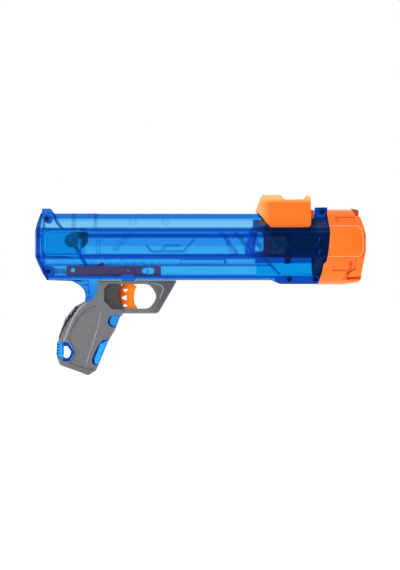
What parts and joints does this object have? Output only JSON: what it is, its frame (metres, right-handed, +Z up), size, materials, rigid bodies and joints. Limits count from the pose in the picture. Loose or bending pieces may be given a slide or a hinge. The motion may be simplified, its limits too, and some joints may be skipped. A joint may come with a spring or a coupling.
{
  "type": "dog tennis ball launcher",
  "caption": "Hand held launcher for a dog's tennis ball: translucent barrel, priming handle, petalled muzzle, trigger, and a grip with a finger guard and lanyard loop.",
  "frame": {"origin": "middle of the launcher's bounding box", "axes": "+X towards the muzzle along the bore, +Z up towards the priming handle, +Y to the left of someone holding it"},
  "size_m": [0.405, 0.0968, 0.2226],
  "materials": {
    "blue_plastic": "translucent polished moulding",
    "cyan_plastic": "satin moulding",
    "grey_plastic": "fine textured moulding",
    "orange_plastic": "satin moulding",
    "trigger_plastic": "satin moulding",
    "plum_plastic": "satin moulding",
    "red_plastic": "satin moulding",
    "dark_plastic": "satin moulding",
    "black_rubber": "matte",
    "latex": "matte latex",
    "steel": "zinc plated",
    "black_steel": "blackened"
  },
  "bodies": {
    "housing": {"shell_right": "blue_plastic", "shell_left": "blue_plastic", "badge_plate_right": "cyan_plastic", "badge_plate_left": "cyan_plastic", "grip_cover_right": "grey_plastic", "grip_cover_left": "grey_plastic", "butt_cap": "grey_plastic", "grip_screw_upper": "black_steel", "grip_screw_lower": "black_steel", "muzzle_collar": "orange_plastic", "chamber_sleeve": "plum_plastic", "ball_retainer": "red_plastic", "anchor_pin_right": "steel", "anchor_pin_left": "steel", "power_band_right": "latex", "power_band_left": "latex", "front_bumper_right": "black_rubber", "front_bumper_left": "black_rubber", "sear_pin": "steel", "trigger_spring": "steel", "sear_spring": "steel", "shell_screw_rear_top": "black_steel", "shell_screw_rear_bottom": "black_steel", "shell_screw_front_rear": "black_steel", "shell_screw_front_mid": "black_steel", "shell_screw_front_top": "black_steel"},
    "handle": {"priming_handle": "orange_plastic", "handle_carriage": "orange_plastic", "handle_screw_rear": "black_steel", "handle_screw_front": "black_steel"},
    "pusher": {"pusher": "red_plastic", "pusher_pad": "black_rubber", "pusher_pin_right": "steel", "pusher_pin_left": "steel"},
    "trigger": {"trigger": "trigger_plastic", "trigger_bar": "red_plastic", "trigger_pin": "steel"},
    "sear": {"sear": "dark_plastic"}
  },
  "joints": [
    {"name": "handle_slide", "type": "slide", "parent": "housing", "child": "handle", "axis": [1, 0, 0], "range_m": [-0.207, 0], "stiffness_N_per_m": 250, "springref_m": 0.04},
    {"name": "pusher_slide", "type": "slide", "parent": "housing", "child": "pusher", "axis": [1, 0, 0], "range_m": [-0.207, 0], "deforming": ["power_band_right", "power_band_left"]},
    {"name": "trigger_slide", "type": "slide", "parent": "housing", "child": "trigger", "axis": [1, 0, 0], "range_m": [-0.0075, 0], "stiffness_N_per_m": 500, "springref_m": 0.006, "deforming": ["trigger_spring"]},
    {"name": "sear_pivot", "type": "hinge", "parent": "housing", "child": "sear", "pos_m": [-0.1595, 0, 0.05496], "axis": [0, 1, 0], "range_deg": [-18.95, 0], "deforming": ["sear_spring"]}
  ],
  "couplings": [
    {"joint": "pusher_slide", "follows": "handle_slide", "ratio": 1},
    {"joint": "sear_pivot", "follows": "trigger_slide", "rad_per_m": 44}
  ]
}
